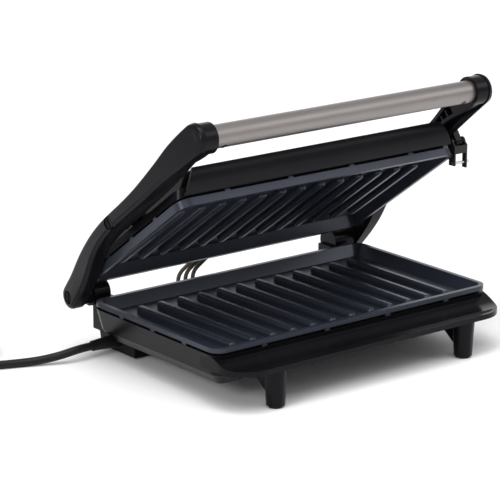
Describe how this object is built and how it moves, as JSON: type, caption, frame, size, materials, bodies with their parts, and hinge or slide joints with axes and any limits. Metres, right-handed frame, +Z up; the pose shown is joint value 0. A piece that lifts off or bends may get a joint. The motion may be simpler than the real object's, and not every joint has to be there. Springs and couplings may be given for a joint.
{
  "type": "panini press",
  "caption": "Countertop contact grill with two ribbed plates, a floating lid between side arms, a bar handle, a front drip apron and a mains cord.",
  "frame": {"origin": "on the worktop under the middle of the lower plate", "axes": "+X to the user's right along the handle, +Y to the rear where the hinge is, +Z up"},
  "size_m": [0.4234, 0.261, 0.1806],
  "materials": {
    "housing_plastic": "black moulded plastic, semi-gloss",
    "arm_plastic": "charcoal moulded plastic, satin",
    "fascia_plastic": "black plastic panel, semi-gloss",
    "nonstick_plate": "cast plate with a dark blue-grey non-stick coating",
    "tube_aluminium": "satin drawn tube",
    "element_steel": "heater sheath, heat-stained",
    "sheet_steel": "bright sheet",
    "screw_steel": "plated steel",
    "dark_screw": "blackened steel",
    "latch_steel": "black-coated stamped steel",
    "thermostat_ceramic": "unglazed",
    "foot_rubber": "matte rubber",
    "cord_rubber": "black cord jacket",
    "wire_sleeve": "dark brown heat-proof sleeve",
    "tie_plastic": "soft plastic band",
    "pin_brass": "turned pins",
    "red_lens": "tinted lens",
    "green_lens": "tinted lens",
    "lamp_glass": "clear"
  },
  "bodies": {
    "base": {"base_housing": "housing_plastic", "lower_plate": "nonstick_plate", "lower_element": "element_steel", "lower_reflector": "sheet_steel", "lower_plate_screws": "screw_steel", "thermostat": "thermostat_ceramic", "thermal_fuse": "screw_steel", "terminal_block": "thermostat_ceramic", "foot_pads": "foot_rubber", "hinge_screws": "dark_screw", "base_grommet": "foot_rubber", "link_wires": "wire_sleeve", "strain_relief": "cord_rubber", "power_cord": "cord_rubber", "cord_coil": "cord_rubber", "cord_tie": "tie_plastic", "plug_body": "cord_rubber", "plug_pins": "pin_brass"},
    "handle_frame": {"left_arm": "arm_plastic", "right_arm": "arm_plastic", "handle_tube": "tube_aluminium", "handle_screws": "dark_screw", "latch_pin": "screw_steel"},
    "lid": {"lid_shell": "housing_plastic", "front_fascia": "fascia_plastic", "upper_plate": "nonstick_plate", "upper_element": "element_steel", "upper_reflector": "sheet_steel", "upper_plate_screws": "screw_steel", "pivot_screws": "dark_screw", "power_lens": "red_lens", "ready_lens": "green_lens", "indicator_lamps": "lamp_glass", "lid_grommet": "foot_rubber"},
    "latch": {"latch_clip": "latch_steel", "latch_bar": "screw_steel"}
  },
  "joints": [
    {"name": "main_hinge", "type": "hinge", "parent": "base", "child": "handle_frame", "pos_m": [0, 0.079, 0.041], "axis": [-1, 0, 0], "range_deg": [-35.5, 64.5], "deforming": ["link_wires"]},
    {"name": "lid_float", "type": "hinge", "parent": "handle_frame", "child": "lid", "pos_m": [0, 0.02681, 0.10353], "axis": [-1, 0, 0], "range_deg": [-2.2, 2.2]},
    {"name": "latch_swing", "type": "hinge", "parent": "handle_frame", "child": "latch", "pos_m": [0.1228, -0.02405, 0.129], "axis": [-1, 0, 0], "range_deg": [-50, 60]}
  ]
}
